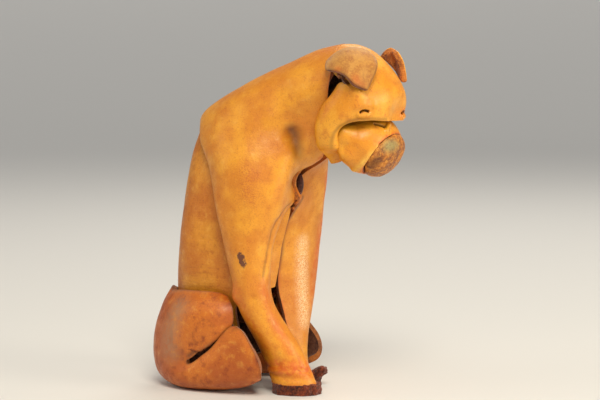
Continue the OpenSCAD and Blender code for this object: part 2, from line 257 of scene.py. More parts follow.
# %% [markdown]
# ## Marks of the hand
# A wet skin takes a mark from anything. A pressed line is a weight group and a Displace modifier, and it
# moves only the grain side, so a crease thins the leather. Gathering works the same way, but up and down,
# and draws a slit's two lips together. A thumb push is proportional editing and takes both sides along, and
# relaxing smooths what a push left kinked. Where a mark is finer than the mesh, the faces there are divided
# first.

# %% Pressing and gathering


def grain_points(piece):
    """Which points lie on the grain side."""
    mesh = piece.data
    number = faces_of(piece)[1]
    total = np.empty(len(mesh.polygons), np.int32)
    corner = np.empty(len(mesh.loops), np.int32)
    mesh.polygons.foreach_get("loop_total", total)
    mesh.loops.foreach_get("vertex_index", corner)
    on_grain = np.zeros(len(mesh.vertices), bool)
    on_grain[corner[np.repeat(number == GRAIN, total)]] = True
    return on_grain


def shift(piece, share, strength, **settings):
    """Displaces each point by its share of a strength."""
    group = piece.vertex_groups.new(name="share")
    for i in np.flatnonzero(share > 0.01):
        group.add([int(i)], float(share[i]), "REPLACE")
    finish_with(piece, "DISPLACE", vertex_group="share", strength=strength, **settings)
    piece.vertex_groups.remove(piece.vertex_groups["share"])


def press(piece, line, reach, depth, grain_only=True):
    """Presses a line this deep into the leather. A depth below zero raises a fold."""
    share = fading(distance(points(piece), line), reach * mm)
    if grain_only:
        share *= grain_points(piece)
    shift(piece, share, -depth * mm, mid_level=0)


def gather(piece, slit, reach, amount):
    """Draws the two lips of a slit together, the upper one down and the lower one up."""
    places = points(piece)
    share = fading(distance(places, slit), reach * mm)
    path = np.array(slit)
    above = places[:, 2] > np.interp(places[:, 0], path[:, 0], path[:, 2])
    shift(piece, share * above, -amount * mm, mid_level=0, direction="Z")
    shift(piece, share * ~above, amount * mm, mid_level=0, direction="Z")


print("marks: pressed lines and gathered slits")

# %% Pushing, relaxing and dividing


def push(piece, line, move, reach):
    """Pushes the leather along a line, or around one place, both of its sides together."""
    away = distance(points(piece), line)
    choose(piece, away <= max(away.min(), 0.4 * mm), "VERT")
    bpy.ops.transform.translate(
        value=tuple(np.array(move, float) * mm), use_proportional_edit=True,
        proportional_edit_falloff="SMOOTH", proportional_size=reach * mm)
    done()


def relax(piece, line, reach, times):
    """Lets the leather near a line settle, which takes out kinks."""
    choose(piece, distance(points(piece), line) < reach * mm, "VERT")
    bpy.ops.mesh.vertices_smooth(factor=0.5, repeat=times)
    done()


def onto(piece, line):
    """The same line, laid onto the piece's surface."""
    return [np.array(piece.closest_point_on_mesh(Vector(p))[1]) for p in line]


def divide(piece, line, reach):
    """Divides the grain faces near a line, so that they can hold a finer mark."""
    mesh = piece.data
    centre = np.empty(len(mesh.polygons) * 3, np.float32)
    mesh.polygons.foreach_get("center", centre)
    near = distance(centre.reshape(-1, 3).astype(float), line) < reach * mm
    choose(piece, near & (faces_of(piece)[1] == GRAIN), "FACE")
    bpy.ops.mesh.subdivide(number_cuts=1, smoothness=0)
    done()


print("marks: pushes, relaxed places and divided faces")

# %% [markdown]
# ## Colours rubbed in
# A bright or dirty place is a number from 0 to 1 kept on the points, which the leather's material reads by
# the colour's name. Painting by hand would do the same, but a line and a reach can be changed later. Colour
# goes on before a line is pressed, because the pressed points move away from the line.

# %% Rubbing colours in


def keep_mark(piece, colour, away, reach, strength):
    """Keeps the stronger of the mark that is there and a fresh one, by the distance from its line."""
    marks = piece.data.attributes.get(colour) or piece.data.attributes.new(colour, "FLOAT", "POINT")
    held = np.empty(len(piece.data.vertices), np.float32)
    marks.data.foreach_get("value", held)
    fresh = strength * fading(away, reach * mm)
    marks.data.foreach_set("value", np.maximum(held, fresh).astype(np.float32))


def rub_in(piece, colour, line, reach, strength):
    """Rubs a colour in along a line. The material finds it by its name."""
    keep_mark(piece, colour, distance(points(piece), line), reach, strength)


def rub_rim(piece, colour, reach, strength):
    """Rubs a colour in along every cut edge of a piece."""
    mesh = piece.data
    number = faces_of(piece)[1]
    places = points(piece)
    cut_points = sorted({v for face in np.flatnonzero(number == CUT) for v in mesh.polygons[face].vertices})
    rim = KDTree(len(cut_points))
    for i in cut_points:
        rim.insert(places[i], i)
    rim.balance()
    keep_mark(piece, colour, np.array([rim.find(place)[2] for place in places]), reach, strength)


print("marks: colours along a line or along a cut edge")

# %% [markdown]
# ## The leather's finish
# Vegetable-tanned leather is honey yellow where light falls and orange where it was handled, and its folds
# are painted deep brown, which is painted shade. It shows pores everywhere, cloudy patches a few millimetres
# wide and a wax sheen that breaks up in the grain. An even colour would look like plastic, so each of these
# is its own pattern, all on the object's own coordinates, so that they stay put from every side. Colours
# rubbed in earlier come in by name.

# %% Patterns for a material


def tone(red, green, blue):
    """A colour given as a paint card does, 0 to 255, as the shader wants it."""
    share = (np.array((red, green, blue), float) / 255) ** 2.2
    return (*(float(v) for v in share), 1.0)


class Mix:
    """A material's node tree, with one short method for each kind of pattern."""

    def __init__(self, name):
        self.material = bpy.data.materials.new(name)
        self.material.use_nodes = True
        self.tree = self.material.node_tree
        self.shader = self.tree.nodes["Principled BSDF"]
        self.place = self.node("ShaderNodeTexCoord").outputs["Object"]

    def node(self, kind, inputs=(), **settings):
        """A new node, its settings made, and its sockets linked or set."""
        made = self.tree.nodes.new(kind)
        for name, value in settings.items():
            setattr(made, name, value)
        for key, value in dict(inputs).items():
            if isinstance(value, bpy.types.NodeSocket):
                self.tree.links.new(value, made.inputs[key])
            else:
                made.inputs[key].default_value = value
        return made

    def stretched(self, x, y, z):
        """The object's coordinates, scaled differently along each axis."""
        return self.node("ShaderNodeMapping", {"Vector": self.place, "Scale": (x, y, z)}).outputs["Vector"]

    def cloud(self, size, detail=3.0, rough=0.55, place=None):
        """Noise whose patches are about this many millimetres across."""
        settings = {"Vector": place or self.place, "Scale": 1 / (size * mm)}
        settings.update({"Detail": detail, "Roughness": rough})
        return self.node("ShaderNodeTexNoise", settings).outputs["Fac"]

    def cells(self, size):
        """Distance from the middle of cells of this many millimetres."""
        settings = {"Vector": self.place, "Scale": 1 / (size * mm)}
        return self.node("ShaderNodeTexVoronoi", settings, feature="F1").outputs["Distance"]

    def marks(self, name):
        """A colour that was rubbed in, as a share from 0 to 1."""
        return self.node("ShaderNodeAttribute", attribute_name=name).outputs["Fac"]

    def between(self, value, start, end, to_start=0.0, to_end=1.0):
        """Turns start to end of a value into to_start to to_end, softly."""
        settings = {"Value": value, "From Min": start, "From Max": end, "To Min": to_start, "To Max": to_end}
        return self.node("ShaderNodeMapRange", settings, interpolation_type="SMOOTHSTEP").outputs["Result"]

    def sum(self, a, b, kind="ADD"):
        """One value from two."""
        return self.node("ShaderNodeMath", {0: a, 1: b}, operation=kind).outputs["Value"]

    def blend(self, share, a, b):
        """Colour a, with this share of colour b over it."""
        made = self.node("ShaderNodeMix", data_type="RGBA", blend_type="MIX")
        for socket, value in ((made.inputs[0], share), (made.inputs[6], a), (made.inputs[7], b)):
            if isinstance(value, bpy.types.NodeSocket):
                self.tree.links.new(value, socket)
            else:
                socket.default_value = value
        return made.outputs[2]

    def finish(self, colour, rough, height, lift, **sockets):
        """Joins the patterns to the shader. lift is the height of the relief in millimetres."""
        bump = self.node("ShaderNodeBump", {"Height": height, "Distance": lift * mm, "Strength": 1.0})
        for name, value in (("Base Color", colour), ("Roughness", rough), ("Normal", bump.outputs["Normal"])):
            self.tree.links.new(value, self.shader.inputs[name])
        for name, value in sockets.items():
            self.shader.inputs[name.replace("_", " ")].default_value = value
        return self.material


print("patterns: clouds, cells and rubbed-in marks")

# %% [markdown]
# ### Grain side
# Four tones make it: light where it was rubbed, the honey ground, an orange for handled places and the deep
# brown of the folds, which is painted shade. Pointiness finds the folds and the rubbed ridges from the mesh
# itself, which is why the creases were modelled: the ridges turn orange and the folds are painted darker.
# Over them come the rubbed-in colours, each broken up by its own noise: a reddish freckled patch, a grey
# faded one, burnished orange that is painted shade along the spine, a painted highlight on the muzzle's lip,
# painted glints on the far foreleg, dirt and painted shade in folds, slits, eyes and hollows, and a dark
# scab.

# %% Grain leather
UMBER = tone(70, 34, 14)
SCAB = tone(84, 38, 30)
FRECKLE = tone(176, 84, 36)
BURNISH_AND_SHADE = tone(205, 92, 22)
FADED = tone(166, 122, 88)
PALE = tone(240, 186, 78)
GLINT = tone(252, 222, 176)


def grain_leather(name, light, honey, orange, wrinkles=0.0, shine=0.42, mottle=0.5, speckled=0.42):
    """Grain side of vegetable-tanned leather. wrinkles adds fine level lines, as on stretched skin."""
    mix = Mix(name)
    broad = mix.cloud(14, 2.0)
    patchy = mix.cloud(3.2, 5.0, 0.62)
    speckle = mix.cloud(0.55, 3.0, 0.65)
    pores = mix.cells(0.5)
    ground = mix.blend(mix.between(broad, 0.40, 0.62), honey, light)
    ground = mix.blend(mix.between(patchy, 0.50, 0.72, 0, mottle), ground, orange)
    ground = mix.blend(mix.between(patchy, 0.30, 0.46, 0.22, 0), ground, PALE)
    ground = mix.blend(mix.between(speckle, 0.46, 0.32, 0, speckled), ground, FRECKLE)
    ground = mix.blend(mix.between(speckle, 0.60, 0.74, 0, 0.30), ground, PALE)
    pits = mix.sum(mix.between(pores, 0.24, 0.12), mix.between(patchy, 0.42, 0.60), "MULTIPLY")
    ground = mix.blend(mix.sum(pits, 0.5, "MULTIPLY"), ground, UMBER)
    freckles = mix.between(mix.cloud(0.45, 3.0, 0.7), 0.46, 0.60, 0.22, 0.85)
    ground = mix.blend(mix.sum(mix.marks("freckled"), freckles, "MULTIPLY"), ground, FRECKLE)
    mark_breakup = mix.between(mix.cloud(1.6, 4.0, 0.7), 0.32, 0.60, 0.35, 1)
    ground = mix.blend(mix.sum(mix.marks("faded"), mark_breakup, "MULTIPLY"), ground, FADED)
    # burnish, and along the spine painted shade, in orange
    ground = mix.blend(mix.sum(mix.marks("burnish_and_shade"), mark_breakup, "MULTIPLY"), ground, BURNISH_AND_SHADE)
    # painted highlight: the pale mark lightens the muzzle's lip
    ground = mix.blend(mix.sum(mix.marks("pale"), mark_breakup, "MULTIPLY"), ground, PALE)
    # painted glints: pale flecks where the far foreleg's pores catch the light
    flecks = mix.between(mix.cloud(0.4, 4.0, 0.75), 0.44, 0.58, 0.12, 0.95)
    ground = mix.blend(mix.sum(mix.marks("painted_glints"), flecks, "MULTIPLY"), ground, GLINT)
    point = mix.node("ShaderNodeNewGeometry").outputs["Pointiness"]
    ground = mix.blend(mix.between(point, 0.515, 0.56, 0, 0.45), ground, orange)
    # painted shade: concave places, the folds and creases, are darkened towards umber
    ground = mix.blend(mix.between(point, 0.485, 0.44, 0, 0.75), ground, UMBER)
    # dirt and painted shade: the dirt_and_shade marks darken to umber, in seams and in folds, slits, eyes and
    # hollows
    dirt_and_shade = mix.sum(mix.marks("dirt_and_shade"), mix.between(speckle, 0.25, 0.6, 0.75, 1), "MULTIPLY")
    ground = mix.blend(dirt_and_shade, ground, UMBER)
    scab = mix.between(mix.sum(mix.marks("scabbed"), mix.cloud(1.1, 4.0, 0.7), "MULTIPLY"), 0.30, 0.40)
    ground = mix.blend(mix.sum(scab, 0.92, "MULTIPLY"), ground, SCAB)
    height = mix.sum(mix.cloud(0.7, 4.0, 0.6), mix.between(pores, 0.26, 0.10, 0, -0.25))
    height = mix.sum(height, mix.sum(mix.cloud(4.0, 3.0), 1.2, "MULTIPLY"))
    height = mix.sum(height, mix.sum(scab, 0.8, "MULTIPLY"))
    if wrinkles:
        lines = mix.cloud(1.0, 4.0, 0.6, mix.stretched(0.10, 0.10, 1.35))
        height = mix.sum(height, mix.sum(lines, wrinkles, "MULTIPLY"))
    rough = mix.between(patchy, 0.3, 0.7, shine - 0.06, shine + 0.16)
    return mix.finish(ground, rough, height, 0.12,
                      Specular_IOR_Level=0.5, Coat_Weight=0.12, Coat_Roughness=0.32)


honey_body = grain_leather(
    "body_grain", tone(224, 150, 38), tone(206, 126, 28), tone(184, 92, 20), mottle=0.4)
honey_back = grain_leather(
    "back_grain", tone(208, 134, 32), tone(190, 110, 22), tone(160, 78, 14), wrinkles=1.6, shine=0.5)
honey_head = grain_leather(
    "head_grain", tone(232, 160, 42), tone(216, 136, 28), tone(190, 92, 18), shine=0.38)
honey_haunch = grain_leather(
    "haunch_grain", tone(196, 106, 22), tone(172, 84, 14), tone(128, 50, 8), mottle=0.8, shine=0.46,
    speckled=0.85)
print("grain leathers:", honey_body.name, honey_back.name, honey_head.name, honey_haunch.name)

# %% [markdown]
# ### Flesh side, cut edge and rough suede
# The inside of the hide is matt, dark and fibrous. A cut edge shows the fibres end on: brown, layered and
# rougher. The folded ear's face, the hollow of the other ear and the paw pads are suede too, the ear greyed
# by dust and the pads worn to a dark red-brown nap, and the plug was rubbed almost smooth. All of them are
# one recipe with different tones, because all are bare fibre.

# %% Bare fibre


def suede(name, light, ground_tone, dark, nap=0.22, rough=0.85, grain=0.7):
    """Bare leather fibre: matt, mottled and rough to the touch."""
    mix = Mix(name)
    fibres = mix.cloud(grain, 6.0, 0.75)
    patches = mix.cloud(3.5, 3.0)
    ground = mix.blend(mix.between(patches, 0.35, 0.65), dark, ground_tone)
    ground = mix.blend(mix.between(fibres, 0.46, 0.66, 0, 0.7), ground, light)
    ground = mix.blend(mix.between(fibres, 0.46, 0.34, 0, 0.55), ground, dark)
    # burnish, and painted shade along the spine, in orange; then dirt and painted shade in umber, as on the
    # grain side
    ground = mix.blend(mix.sum(mix.marks("burnish_and_shade"), 0.7, "MULTIPLY"), ground, BURNISH_AND_SHADE)
    ground = mix.blend(mix.marks("dirt_and_shade"), ground, UMBER)
    height = mix.sum(fibres, mix.sum(mix.cloud(0.35, 3.0, 0.7), 0.5, "MULTIPLY"))
    roughness = mix.between(fibres, 0.3, 0.7, rough - 0.1, min(1.0, rough + 0.1))
    return mix.finish(ground, roughness, height, nap, Specular_IOR_Level=0.25, Sheen_Weight=0.2)


flesh_side = suede("flesh_side", tone(140, 92, 66), tone(96, 58, 42), tone(54, 28, 22))
cut_edge = suede("cut_edge", tone(214, 138, 62), tone(176, 100, 42), tone(104, 54, 24), nap=0.15, grain=0.5)
ear_suede = suede("ear_suede", tone(206, 150, 72), tone(192, 136, 64), tone(168, 108, 50), nap=0.1, rough=0.6)
ear_hollow = suede("ear_hollow", tone(196, 122, 60), tone(158, 92, 44), tone(104, 56, 30), nap=0.12)
pad_suede = suede("pad_suede", tone(160, 80, 44), tone(112, 48, 28), tone(56, 22, 14), nap=0.3)
plug_leather = suede(
    "plug_leather", tone(110, 70, 60), tone(84, 48, 42), tone(56, 30, 26), nap=0.05, rough=0.42)
print("bare fibre:", flesh_side.name, cut_edge.name, ear_suede.name, pad_suede.name, plug_leather.name)

# %% [markdown]
# ## Handing a piece over
# Each finished piece gets its materials and rides on the dog's one body. A piece made from a sheet has a
# material for each of its three sides and takes the sheet's place.

# %% Handing over


def set_out(piece, slot_name, *materials):
    """Puts the materials on and lets the piece ride on the dog."""
    for material in materials:
        piece.data.materials.append(material)
    only(piece)
    bpy.ops.object.shade_smooth()
    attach(piece, "root")


def hand_over(piece, node, slot_name, grain, flesh=flesh_side):
    """Sets a piece out with the materials of its three sides, and lets it stand for its sheet."""
    set_out(piece, slot_name, grain, flesh, cut_edge)
    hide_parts(node)
    print(piece.name, "stands for", node, "with", len(piece.data.polygons), "faces")


print("sheets to stand for:", ", ".join(sorted(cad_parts)))

# %% [markdown]
# ## Body skin
# One skin makes the neck, both shoulders and both forelegs, folded over the spine and sewn to nothing: its
# edges only meet along the chest. Where the neck joins the shoulder, a broad press makes a shallow hollow,
# and a push with a sharper press makes the fold at its foot, which is darkened with painted shade. The elbow
# is pushed out to the rear over a crease. The crease from the throat down the near leg, the far leg's
# wrinkles and the near paw's cuff are pressed lines, and the skin's edge along the throat is raised; the
# crease down the near leg is darkened with painted shade too. Dirt gathers along the chest seam, and the legs
# are burnished where hands hold them. A broad orange-brown band of painted shade runs along the spine, and
# the far foreleg carries painted glints.

# %% Body shape
body = leather_from("body_skin", "body_leather_skin")
shoulder_tip = run((-34, 0, 91))
push(body, shoulder_tip, (1.6, 0, -0.8), 6)
relax(body, shoulder_tip, 6, 25)
neck_hollow = run((7.6, -15.6, 101), (10.2, -14.6, 92), (12.2, -13.2, 85.4))
neck_fold = run((10.4, -14.2, 90.4), (12, -13.2, 86), (13.2, -12, 81.6))
strip_crease = onto(body, run(
    (5.6, -4.5, 65), (5.9, -9, 63.8), (6.0, -13, 62), (5.8, -16, 59.8),
    (5.0, -17.2, 56.6), (4.2, -17.4, 52), (2.9, -18, 46), (2.2, -18.6, 41)))
# painted shade in the fold at the foot of the neck and in the crease down the near leg
rub_in(body, "dirt_and_shade", neck_fold, 4.0, 0.7)
rub_in(body, "dirt_and_shade", strip_crease, 0.8, 0.5)
press(body, neck_hollow, 7, 0.6)
push(body, neck_fold, (-0.4, 1.7, 0.2), 5)
press(body, neck_fold, 2.4, 0.7)
press(body, strip_crease, 2.0, 0.55)
elbow = run((-9.4, -20.6, 35.6), (-8.2, -21.4, 33.6))
push(body, elbow, (-0.9, -0.3, -0.2), 5)
press(body, run((-9, -19.4, 31), (-5, -21.4, 31.8), (-1, -21.6, 33.4)), 3.0, 0.35)
press(body, run((2.1, 7.0, 45.4), (2.9, 8.7, 44.9), (3.6, 10.1, 44.4)), 1.3, 0.4)
press(body, run((2.2, 7.6, 47.2), (3.6, 9.9, 46.6)), 1.6, -0.22)
throat = run(
    (15.8, -2.4, 81.4), (10.5, -1.6, 79.6), (6.2, -2.2, 77.4),
    (4.4, -2.4, 73.5), (5.2, -2.4, 69), (6.3, -2, 66.6))
press(body, throat, 1.6, -0.4)
rub_in(body, "burnish_and_shade", throat, 2.4, 0.9)
print("the body skin has", len(body.data.polygons), "faces")

# %% Cuff over the near paw
cuff = [(-1, -7, 11), (-0.4, -13, 9.8), (6.4, -15.4, 9.6), (12.4, -12.6, 9.0), (14.6, -8.6, 9.2)]
for lift, first, last, depth in ((-2.6, 0, 5, 0.4), (0.2, 0, 3, 0.5), (-0.6, 3, 5, 0.45), (2.6, 1, 4, 0.3)):
    fold = run(*[(x, y, z + lift + 0.8 * math.sin(2.1 * x + lift)) for x, y, z in cuff[first:last]])
    press(body, fold, 1.4, depth)
press(body, run((0, -12.4, 8.4), (6.4, -15.4, 8.2), (12.4, -12.6, 7.7)), 1.3, -0.35)
rub_in(body, "burnish_and_shade", run(*cuff), 6.0, 1.0)
print("pressed four folds into the near cuff")

# %% Body colours
outer_leg = run((8.9, 17.6, 74), (7.2, 19.4, 62), (5.4, 17.6, 46), (6, 14, 30), (9.4, 11, 14))
rub_in(body, "burnish_and_shade", outer_leg, 4.2, 1.0)
rub_in(body, "freckled", run((-1.4, -24.2, 76), (-0.2, -24, 69)), 9, 0.85)
rub_in(body, "scabbed", run((-3.6, -24.4, 48.4), (-2.7, -23.8, 45.6)), 3.2, 1.0)
chest_seam = run((6.2, 2.7, 66.6), (4.6, 1.4, 63.3), (0.9, 1.1, 57.9), (-1.9, 1.8, 46.1), (-4, 1.6, 36))
rub_in(body, "dirt_and_shade", chest_seam, 1.2, 0.7)
# painted glints down the front of the far foreleg
rub_in(body, "painted_glints", run((3.6, 8.6, 50), (3.0, 9, 40), (3.0, 9.4, 30), (4.4, 9, 22)), 4.6, 0.85)
rub_in(body, "burnish_and_shade", run((-7.4, -21, 36), (-3.4, -19.4, 25), (1.8, -16.6, 15)), 6.5, 0.7)
rub_in(body, "burnish_and_shade", run((1.4, -18, 37), (5.4, -15.6, 25), (9.6, -13.4, 15)), 4.0, 0.6)
# painted shade: a broad orange-brown band along the spine and the top of the neck
rub_in(body, "burnish_and_shade", run((-32, 0, 90), (-24, 0, 100), (-8, 0, 110), (8, 0, 116), (22, 0, 119)), 11, 0.4)
rub_rim(body, "burnish_and_shade", 1.3, 0.55)
hand_over(body, "body_skin", "body_leather", honey_body)

# %% [markdown]
# ## Back panel
# A plain curved skin closes the back below the shoulders and tucks into the haunches. It was stretched while
# wet, so fine level wrinkles cross it. Those are in its relief, and the longest are pressed, at four heights
# on each side. Its top edge and its two front edges are drawn out, so that they reach under the shoulders.

# %% Back panel
WRINKLE_REACH, WRINKLE_DEPTH = 0.9, 0.12
back = leather_from("back_panel", "back_leather_panel", levels=3)
for height in (52.5, 47.5, 42.0, 38.8):
    for sign, wander in ((-1, (-0.6, 0, 0.3, -0.2)), (1, (0.4, 0, -0.5, 0.1))):
        way = zip((-31, -27.5, -22, -16), (14.8, 16.9, 17.4, 17.6), wander)
        wrinkle = run(*[(x, sign * y, height + lift) for x, y, lift in way])
        press(back, wrinkle, WRINKLE_REACH, WRINKLE_DEPTH)
push(back, run((-31.5, 0, 90.5)), (0.9, 0, 2.2), 7)
for sign in (-1, 1):
    push(back, run((-9, sign * 16.5, 46), (-11.5, sign * 15.6, 34)), (3.4, 0, 0), 7)
hand_over(back, "back_panel", "back_leather", honey_back)

# %% [markdown]
# ## Chest strip and throat plug
# A narrow strip backs the seam between the forelegs and is drawn forward to it. A dark oval plug fills the
# gap at the throat.

# %% Strip and plug
strip = leather_from("chest_strip", "chest_leather_strip", levels=3)
push(strip, run((0.6, -1.6, 64), (-3.5, -0.9, 50), (-5.4, -3.4, 35.5)), (1.4, 1.8, 0), 6)
hand_over(strip, "chest_strip", "strip_leather", honey_body)
plug = copy_of("throat_bung", "throat_leather_plug")
finish_with(plug, "SUBSURF", levels=2, render_levels=2)
hand_over(plug, "throat_bung", "dark_leather", plug_leather)

# %% [markdown]
# ### Throat band and knot
# The cut edge of the near skin is rolled over round the plug: a brown core with a light lip on each side,
# and both are drawn together in a small twisted knot under the plug. Each is a curve with a round bevel,
# made a mesh and roughened, because a rolled edge is the same all along its way. The lips lie on the two
# sides of the core as they are seen from the dog's right front, which is the way that the band faces.

# %% Rolled bands
FACING = Vector((0.45, -0.89, 0))
CORE_RADIUS, LIP_RADIUS, KNOT_RADIUS = 1.15, 0.48, 0.62
LIP_OFFSET = 1.35


def band(name, line, radius, material, slot_name):
    """A rolled edge of this radius along a line."""
    bpy.ops.object.select_all(action="DESELECT")
    bpy.ops.curve.primitive_nurbs_path_add(location=(0, 0, 0))
    rolled = bpy.context.object
    rolled.name = name
    curve = rolled.data
    curve.splines.clear()
    path = curve.splines.new("NURBS")
    path.points.add(len(line) - 1)
    for point, place in zip(path.points, line):
        point.co = (*place, 1)
    path.order_u = 3
    path.use_endpoint_u = True
    path.resolution_u = 8
    curve.bevel_depth = radius * mm
    curve.bevel_resolution = 3
    curve.use_fill_caps = True
    only(rolled)
    bpy.ops.object.convert(target="MESH")
    rolled = bpy.context.object
    uneven = bpy.data.textures.new(f"{name}_uneven", "CLOUDS")
    uneven.noise_scale = 1.3 * mm
    finish_with(rolled, "DISPLACE", texture=uneven, texture_coords="LOCAL", strength=0.5 * radius * mm)
    set_out(rolled, slot_name, material)
    print(name, "is", round(max(rolled.dimensions) / mm, 1), "mm long")
    return rolled


throat_way = [Vector(p) for p in run(
    (14.6, -2.8, 82.0), (10.4, -2.8, 79.6), (6.6, -2.8, 77.1), (4.7, -2.8, 74),
    (4.5, -2.8, 70.8), (5.4, -2.6, 68.2), (6.6, -2.2, 66.4))]
beyond = 2 * throat_way[-1] - throat_way[-2]
band("throat_band_core", throat_way, CORE_RADIUS, cut_edge, "strip_leather")
for side_name, side in (("outer", -1), ("inner", 1)):
    lip_way = []
    for here, ahead in zip(throat_way, throat_way[1:] + [beyond]):
        lip_way.append(here + side * LIP_OFFSET * mm * (ahead - here).normalized().cross(FACING))
    band(f"throat_band_lip_{side_name}", lip_way, LIP_RADIUS, honey_body, "body_leather")
knot_way = [Vector(p) for p in run(
    (6.6, -2.6, 67.0), (7.0, -1.0, 66.0), (5.6, 0.6, 65.2), (5.2, -1.4, 64.6),
    (6.6, -2.4, 65.4), (6.6, -0.4, 66.4), (5.0, 0.2, 64.0), (4.2, -1.2, 62.8))]
knot = band("throat_knot", knot_way, KNOT_RADIUS, cut_edge, "strip_leather")
rub_in(knot, "dirt_and_shade", run((5.8, -1, 65.4)), 2.4, 0.55)

# %% [markdown]
# ## Hind legs
# Each hind leg is one skin folded over itself: haunch above, foot below, with a slit between that opens
# into a dark wedge at the rear, darkened with painted shade. In front the slit's two lips are gathered until
# they almost touch. The gathered line goes on a little past the slit's front end, or a notch would stay
# there.
# The haunch is redder than the body, and its rim is greyed by wear. Behind the wedge stands a thin sloping
# tongue of dark flesh-side leather, a dark sheet put there for the shade inside the leg, so that the leg's
# hollow inside can't be seen through it.

# %% A dark sheet behind the slit
TONGUE_LENGTH, TONGUE_HEIGHT, TONGUE_THICKNESS = 24, 11, 1.2
TONGUE_SLOPE = math.radians(-34)


def add_shade_tongue(sign, side_name, slot_name):
    """A sloping dark flap of flesh-side leather inside a hind leg, behind its slit, put there for the shade
    in the leg's hollow.
    """
    bpy.ops.object.select_all(action="DESELECT")
    bpy.ops.mesh.primitive_grid_add(x_subdivisions=24, y_subdivisions=12, size=1)
    tongue = bpy.context.object
    tongue.name = f"hind_leg_shade_tongue_{side_name}"
    tongue.data.transform(Matrix.Diagonal((TONGUE_LENGTH * mm, TONGUE_HEIGHT * mm, 1, 1)))
    tongue.data.transform(Matrix.Rotation(math.radians(90), 4, "X"))
    tongue.data.transform(Matrix.Rotation(TONGUE_SLOPE, 4, "Y"))
    tongue.data.transform(Matrix.Translation(spot(-18.5, sign * 19.6, 16.2)))
    finish_with(tongue, "SOLIDIFY", thickness=TONGUE_THICKNESS * mm, offset=0)
    finish_with(tongue, "SUBSURF", levels=1, render_levels=1)
    set_out(tongue, slot_name, flesh_side)


print("a tongue is", TONGUE_LENGTH, "by", TONGUE_HEIGHT, "mm")

# %% Hind legs
for sign, side_name, slot_name in ((-1, "right", "haunch_leather"), (1, "left", "haunch_leather_left")):
    leg = leather_from(f"hind_leg_{side_name}", f"hind_leg_leather_{side_name}")
    slit = run((-24.2, sign * 24, 12.6), (-19.7, sign * 24.1, 15.1), (-15.9, sign * 23.8, 17.7),
               (-12.6, sign * 22.6, 20.6))
    # painted shade in the slit
    rub_in(leg, "dirt_and_shade", slit, 1.6, 0.7)
    rear = run((-29.5, sign * 22.8, 29), (-32.4, sign * 22.8, 21), (-32, sign * 22.4, 14))
    rub_in(leg, "faded", rear, 8, 0.8)
    upper_rim = run((-38.6, sign * 13.1, 32.5), (-30, sign * 18.4, 35), (-20, sign * 19.4, 35))
    rub_in(leg, "faded", upper_rim, 2.4, 0.5)
    push(leg, run((-39, sign * 12.6, 34)), (0.5, 0, -1.3), 4)
    gather(leg, slit[1:] + run((-9.4, sign * 21, 23.4)), 6, 1.0)
    rub_rim(leg, "dirt_and_shade", 0.9, 0.4)
    hand_over(leg, f"hind_leg_{side_name}", slot_name, honey_haunch)
    # a dark sheet behind the slit, standing in for the shade inside the leg
    add_shade_tongue(sign, side_name, slot_name)

# %% [markdown]
# ## Head
# The skull skin wraps over the top and down both cheeks. Its crown is pushed back against the neck, the
# lower ends of its cheeks are drawn in under the muzzle, the skin behind the far ear is pushed back, and
# the middle of the face is pushed in a little between the eyes. Under the near ear a kink is relaxed. The
# eyes are pressed crescents over a swollen lower lid, and the crescents are darkened with painted shade. They
# are finer than the skin's mesh, so the faces around them are divided first. Painted shade also darkens the
# place under the near ear's hood and the seams round the muzzle.

# %% Head shape
head = leather_from("head_skin", "head_leather_skin", uneven=0.3)
relax(head, run((27, -16.4, 107.5), (31, -17.4, 107), (34, -17.6, 105.6)), 3.2, 14)
push(head, run((44.3, -1, 96.5)), (-2.0, 0, 0), 8)
crown = run(
    (25.5, -10.2, 115.8), (24.9, -7.2, 117.6), (24.3, -3.6, 119.3), (23.9, 0, 119.6),
    (24.3, 3.6, 119.3), (24.9, 7.2, 117.6), (25.5, 10.2, 115.8))
push(head, crown, (-1.5, 0, -0.1), 3)
for sign in (-1, 1):
    push(head, run((24.8, sign * 13.6, 80.6)), (1.6, -sign * 2.4, 2.0), 6)
    push(head, run((26.4, sign * 16.0, 85.6)), (0.8, -sign * 1.0, 0), 5.5)
    push(head, run((25.5, sign * 12.6, 81), (29.4, sign * 13, 82)), (0, -sign * 1.2, 0.7), 4.5)
push(head, run((27.5, 13.5, 113.5), (28.3, 15.6, 109), (28.6, 16.6, 104.5)), (-2.8, 0.2, 0), 6)
print("closed the cheeks over the muzzle and the crown over the neck")

# %% Eyes
eye_near = onto(head, run((36.7, -15.4, 97.3), (37.3, -15.0, 97.7), (38.0, -14.3, 97.8), (38.7, -13.5, 97.5)))
lid_near = onto(head, run((36.2, -15.3, 96.3), (37.2, -14.3, 96.1), (38.4, -13.1, 96.2)))
eye_far = onto(head, run((42.2, 6.8, 96.4), (42.6, 5.9, 97.0), (42.9, 4.8, 97.1), (43.1, 3.6, 96.4)))
lid_far = onto(head, run((42.4, 6.2, 95.3), (43, 4.0, 95.3)))
# painted shade in the eye crescents
for eye, lid in ((eye_near, lid_near), (eye_far, lid_far)):
    for reach in (3.2, 2.2, 1.2):
        divide(head, eye, reach)
    rub_in(head, "dirt_and_shade", eye, 0.75, 1.0)
    press(head, lid, 1.6, -0.6)
    press(head, eye, 0.55, 1.1)
brow_ridge = onto(head, run((35.8, -16.4, 99.4), (38, -15, 100), (40.2, -12.4, 99.4)))
press(head, brow_ridge, 2.0, -0.3)
rub_in(head, "burnish_and_shade", eye_far, 2.4, 0.7)
